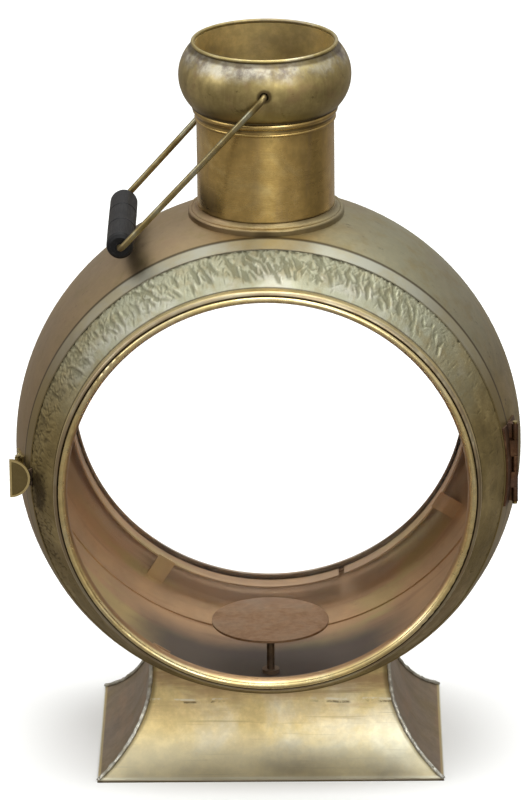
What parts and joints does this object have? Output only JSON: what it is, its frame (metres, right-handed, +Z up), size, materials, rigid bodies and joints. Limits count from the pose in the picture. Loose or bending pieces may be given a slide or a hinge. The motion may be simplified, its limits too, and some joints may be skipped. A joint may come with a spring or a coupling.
{
  "type": "ship lantern",
  "caption": "Brass ship lantern: a round drum with glazed windows front and back, a hinged front door, a bulged chimney with a swinging bail, and a flared plinth.",
  "frame": {"origin": "middle of the plinth's underside, on the surface the lantern stands on", "axes": "+Z up the chimney; the hinged front window faces -Y; +X towards the hinge"},
  "size_m": [0.3214, 0.193, 0.4674],
  "materials": {
    "drum_brass": "aged satin brass",
    "hammered_brass": "hammered aged brass",
    "bezel_brass": "polished old brass",
    "chimney_brass": "satin brass",
    "bulb_brass": "heat-stained brass",
    "plinth_brass": "pale satin brass",
    "solder": "soft solder, tarnished yellow",
    "inner_brass": "dull copper-brown lining",
    "plate_copper": "matt copper-brown",
    "dark_stem": "blackened",
    "wire_brass": "drawn brass wire",
    "black_grip": "black-stained turned wood",
    "hinge_brown": "dark bronzed",
    "pin_brass": "bright",
    "clear_glass": "clear window glass"
  },
  "bodies": {
    "lantern": {"drum_band": "drum_brass", "door_seat": "inner_brass", "rear_seam_strip": "inner_brass", "rear_shell": "drum_brass", "rear_bezel": "bezel_brass", "rear_glass": "clear_glass", "rear_hoop": "inner_brass", "rear_clips": "inner_brass", "neck_flange": "drum_brass", "chimney_tube": "chimney_brass", "chimney_bead": "chimney_brass", "chimney_bulb": "bulb_brass", "mouth_sleeve": "chimney_brass", "rim_wire": "bulb_brass", "plinth_front": "plinth_brass", "plinth_back": "plinth_brass", "plinth_left": "plinth_brass", "plinth_right": "plinth_brass", "corner_beads": "solder", "foot_plate": "plinth_brass", "candle_plate": "plate_copper", "candle_stem": "dark_stem", "stem_foot": "solder", "hinge_leaf_body": "hinge_brown", "hinge_pin": "pin_brass", "catch_leaf": "drum_brass", "catch_pin": "pin_brass", "catch_rivets": "pin_brass"},
    "door": {"door_shell": "hammered_brass", "door_rim": "drum_brass", "door_bezel": "bezel_brass", "door_glass": "clear_glass", "door_hoop": "inner_brass", "door_clips": "inner_brass", "hinge_leaf_door": "hinge_brown", "catch_keeper": "solder"},
    "bail": {"bail_wire": "wire_brass"},
    "grip": {"grip": "black_grip"},
    "catch": {"catch_hook": "bezel_brass"}
  },
  "joints": [
    {"name": "door_swing", "type": "hinge", "parent": "lantern", "child": "door", "pos_m": [0.1548, -0.05025, 0.205], "axis": [0, 0, 1], "range_deg": [0, 115]},
    {"name": "bail_swing", "type": "hinge", "parent": "lantern", "child": "bail", "pos_m": [0, 0, 0.4464], "axis": [0, 1, 0], "range_deg": [0, 275]},
    {"name": "grip_spin", "type": "hinge", "parent": "bail", "child": "grip", "pos_m": [-0.09037, 0, 0.34746], "axis": [0, 1, 0], "continuous": true},
    {"name": "catch_swing", "type": "hinge", "parent": "lantern", "child": "catch", "pos_m": [-0.1568, -0.046, 0.202], "axis": [0, 0, -1], "range_deg": [0, 90]}
  ]
}
